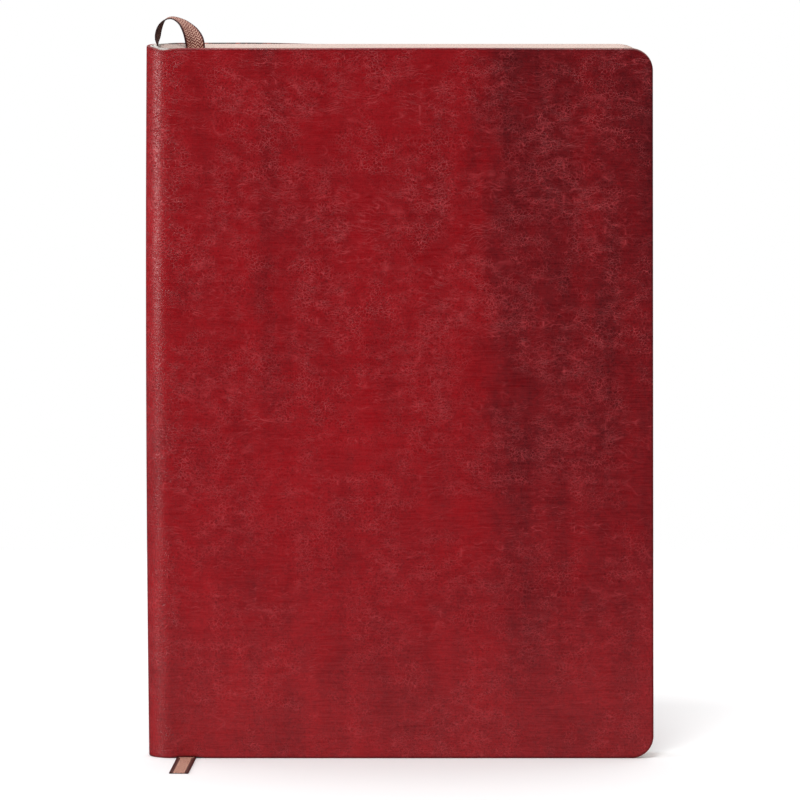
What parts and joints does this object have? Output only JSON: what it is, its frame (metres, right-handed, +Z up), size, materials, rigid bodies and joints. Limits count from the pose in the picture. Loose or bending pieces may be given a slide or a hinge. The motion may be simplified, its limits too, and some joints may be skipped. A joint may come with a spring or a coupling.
{
  "type": "soft leather notebook",
  "caption": "Bound A5 notebook in a soft red leather cover with a rounded spine, flush-cut pages, round fore-edge corners and a woven ribbon marker.",
  "frame": {"origin": "middle of the closed book's footprint on the table, without the ribbon", "axes": "+X from the spine to the fore-edge, +Y from the front cover to the back cover, +Z up the height from tail to head"},
  "size_m": [0.148, 0.0522, 0.2167],
  "materials": {
    "leather": "burnished full-grain calf, cloudy bright to dark red, fine wrinkles, soft sheen",
    "board": "thin flexible grey-brown card",
    "endpaper": "matt cream paper",
    "liner": "white lining cloth",
    "mull": "open-weave starched cotton",
    "glue": "flexible binder's glue, satin",
    "thread": "waxed linen thread",
    "pages": "uncoated cream paper with trimmed edges",
    "band": "white woven headband",
    "ribbon": "woven copper-brown ribbon with dark selvedges and a herringbone centre"
  },
  "bodies": {
    "spine": {"spine_leather": "leather", "spine_liner": "liner", "spine_mull": "mull", "block_glue": "glue", "sewing_thread": "thread", "headband": "band", "tailband": "band", "ribbon_marker": "ribbon", "section_1": "pages"},
    "front_cover": {"front_cover_leather": "leather", "front_cover_board": "board", "front_pastedown": "endpaper"},
    "front_leaf": {"front_flyleaf": "endpaper"},
    "back_cover": {"back_cover_leather": "leather", "back_cover_board": "board", "back_pastedown": "endpaper"},
    "back_leaf": {"back_flyleaf": "endpaper"},
    "leaves_8": {"section_8": "pages"},
    "leaves_7": {"section_7": "pages"},
    "leaves_6": {"section_6": "pages"},
    "leaves_5": {"section_5": "pages"},
    "leaves_4": {"section_4": "pages"},
    "leaves_3": {"section_3": "pages"},
    "leaves_2": {"section_2": "pages"}
  },
  "joints": [
    {"name": "front_cover_hinge", "type": "hinge", "parent": "spine", "child": "front_cover", "pos_m": [-0.067, -0.00815, 0], "axis": [0, 0, -1], "range_deg": [0, 178]},
    {"name": "front_flyleaf_fold", "type": "hinge", "parent": "spine", "child": "front_leaf", "pos_m": [-0.06675, -0.0058, 0], "axis": [0, 0, -1], "range_deg": [0, 89]},
    {"name": "back_cover_hinge", "type": "hinge", "parent": "spine", "child": "back_cover", "pos_m": [-0.067, 0.00815, 0], "axis": [0, 0, 1], "range_deg": [0, 178]},
    {"name": "back_flyleaf_fold", "type": "hinge", "parent": "spine", "child": "back_leaf", "pos_m": [-0.06675, 0.0058, 0], "axis": [0, 0, 1], "range_deg": [0, 87]},
    {"name": "section_8_fold", "type": "hinge", "parent": "spine", "child": "leaves_8", "pos_m": [-0.0665, 0.0055, 0], "axis": [0, 0, 1], "range_deg": [0, 79]},
    {"name": "section_7_fold", "type": "hinge", "parent": "spine", "child": "leaves_7", "pos_m": [-0.0665, 0.00416, 0], "axis": [0, 0, 1], "range_deg": [0, 69]},
    {"name": "section_6_fold", "type": "hinge", "parent": "spine", "child": "leaves_6", "pos_m": [-0.0665, 0.00282, 0], "axis": [0, 0, 1], "range_deg": [0, 59]},
    {"name": "section_5_fold", "type": "hinge", "parent": "spine", "child": "leaves_5", "pos_m": [-0.0665, 0.00149, 0], "axis": [0, 0, 1], "range_deg": [0, 49]},
    {"name": "section_4_fold", "type": "hinge", "parent": "spine", "child": "leaves_4", "pos_m": [-0.0665, 0.00015, 0], "axis": [0, 0, 1], "range_deg": [0, 38]},
    {"name": "section_3_fold", "type": "hinge", "parent": "spine", "child": "leaves_3", "pos_m": [-0.0665, -0.00119, 0], "axis": [0, 0, 1], "range_deg": [0, 26]},
    {"name": "section_2_fold", "type": "hinge", "parent": "spine", "child": "leaves_2", "pos_m": [-0.0665, -0.00252, 0], "axis": [0, 0, 1], "range_deg": [0, 13]}
  ],
  "couplings": [
    {"joint": "front_flyleaf_fold", "follows": "front_cover_hinge", "ratio": 0.5},
    {"joint": "back_flyleaf_fold", "follows": "back_cover_hinge", "ratio": 0.48876},
    {"joint": "section_8_fold", "follows": "back_cover_hinge", "ratio": 0.44382},
    {"joint": "section_7_fold", "follows": "back_cover_hinge", "ratio": 0.38764},
    {"joint": "section_6_fold", "follows": "back_cover_hinge", "ratio": 0.33146},
    {"joint": "section_5_fold", "follows": "back_cover_hinge", "ratio": 0.27528},
    {"joint": "section_4_fold", "follows": "back_cover_hinge", "ratio": 0.21348},
    {"joint": "section_3_fold", "follows": "back_cover_hinge", "ratio": 0.14607},
    {"joint": "section_2_fold", "follows": "back_cover_hinge", "ratio": 0.073033}
  ]
}
